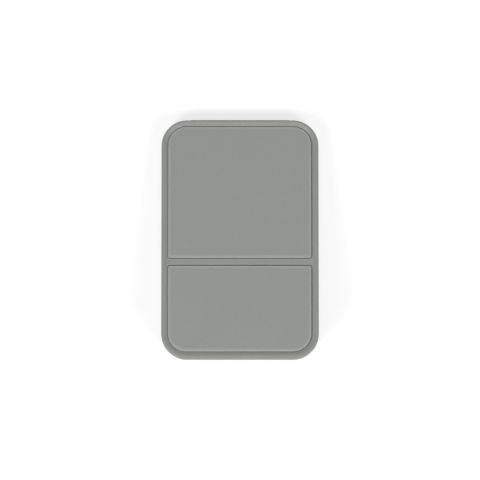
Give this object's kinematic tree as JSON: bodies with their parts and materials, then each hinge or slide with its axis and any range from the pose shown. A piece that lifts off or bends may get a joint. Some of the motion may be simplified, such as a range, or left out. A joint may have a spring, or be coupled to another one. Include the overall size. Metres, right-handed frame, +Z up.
{
  "type": "door wedge",
  "caption": "Height-adjustable door wedge: rounded grey tray with a hinged, padded tread plate that a folding prop holds up at its heel end.",
  "frame": {"origin": "on the floor, under the middle of the wedge's outline", "axes": "+X across the wedge to the right seen from the heel, +Y along it to the thin toe that goes under the door, +Z up"},
  "size_m": [0.0786, 0.12, 0.0262],
  "materials": {
    "moulded_plastic": "moulded, fine spark texture",
    "pad_rubber": "moulded soft, matte",
    "sole_rubber": "moulded, grooved",
    "zinc_steel": "zinc plated"
  },
  "bodies": {
    "base": {"base_tray": "moulded_plastic", "sole": "sole_rubber", "hinge_pin": "zinc_steel", "step_rack": "zinc_steel", "rack_screw_left": "zinc_steel", "rack_screw_right": "zinc_steel", "rest_buffer_left": "sole_rubber", "rest_buffer_right": "sole_rubber"},
    "tread": {"tread_frame": "moulded_plastic", "ramp_pad": "pad_rubber", "heel_pad": "pad_rubber", "prop_pin": "zinc_steel", "prop_clip_left": "zinc_steel", "prop_clip_right": "zinc_steel"},
    "prop": {"lift_prop": "zinc_steel"}
  },
  "joints": [
    {"name": "tread_lift", "type": "hinge", "parent": "base", "child": "tread", "pos_m": [0, 0.057, 0.0038], "axis": [-1, 0, 0], "range_deg": [0, 8]},
    {"name": "prop_swing", "type": "hinge", "parent": "tread", "child": "prop", "pos_m": [0, -0.02737, 0.01458], "axis": [-1, 0, 0], "range_deg": [0, 26.8]}
  ],
  "couplings": [
    {"joint": "prop_swing", "follows": "tread_lift", "ratio": 3.35}
  ]
}
